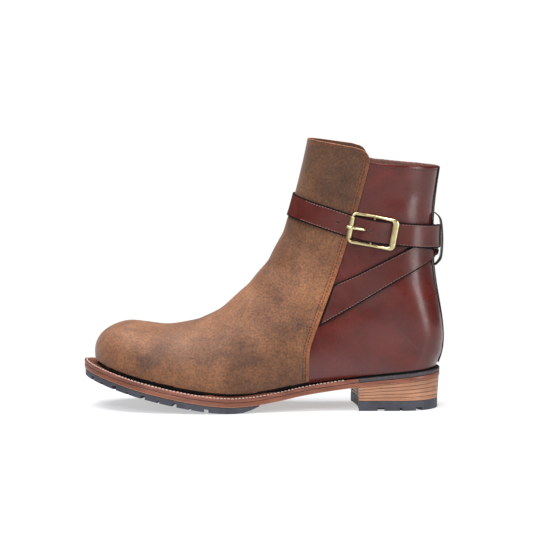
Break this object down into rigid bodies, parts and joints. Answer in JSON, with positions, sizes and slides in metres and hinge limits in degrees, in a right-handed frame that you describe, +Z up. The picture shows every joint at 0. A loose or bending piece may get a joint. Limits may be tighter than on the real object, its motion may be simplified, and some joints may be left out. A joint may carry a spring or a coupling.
{
  "type": "jodhpur boot",
  "caption": "Ankle boot with a tall front flap, a strap wrapped round the ankle and closed by a roller buckle, a stacked heel and a lugged rubber forepart",
  "frame": {"origin": "centre of the heel's flat ground face, on the ground", "axes": "+X from the toe towards the heel, along the sole; +Y across to the medial side, so the buckle on the lateral side faces -Y; +Z up"},
  "size_m": [0.308, 0.1117, 0.2291],
  "materials": {
    "quarter_leather": "glossy burgundy calf",
    "vamp_leather": "waxed brown nubuck, mottled",
    "backstay_leather": "satin black",
    "strap_leather": "glossy burgundy calf",
    "brass": "polished",
    "insole_leather": "plain vegetable tanned",
    "welt_leather": "stained reddish brown",
    "rand": "stained dark grey",
    "outsole_leather": "stained tan",
    "lift_leather": "stacked leather, tan",
    "rubber": "matt black"
  },
  "bodies": {
    "root": {"upper": "quarter_leather", "vamp": "vamp_leather", "backstay": "backstay_leather", "heel_loop": "backstay_leather", "long_strap": "strap_leather", "buckle_strap": "strap_leather", "buckle_frame": "brass", "buckle_roller": "brass", "buckle_prong": "brass", "insole": "insole_leather", "welt": "welt_leather", "heel_rand": "rand", "outsole": "outsole_leather", "rubber_sole": "rubber", "heel_lift_1": "lift_leather", "heel_lift_2": "lift_leather", "heel_lift_3": "lift_leather", "heel_lift_4": "lift_leather", "heel_lift_5": "lift_leather", "top_lift": "rubber"}
  },
  "joints": []
}
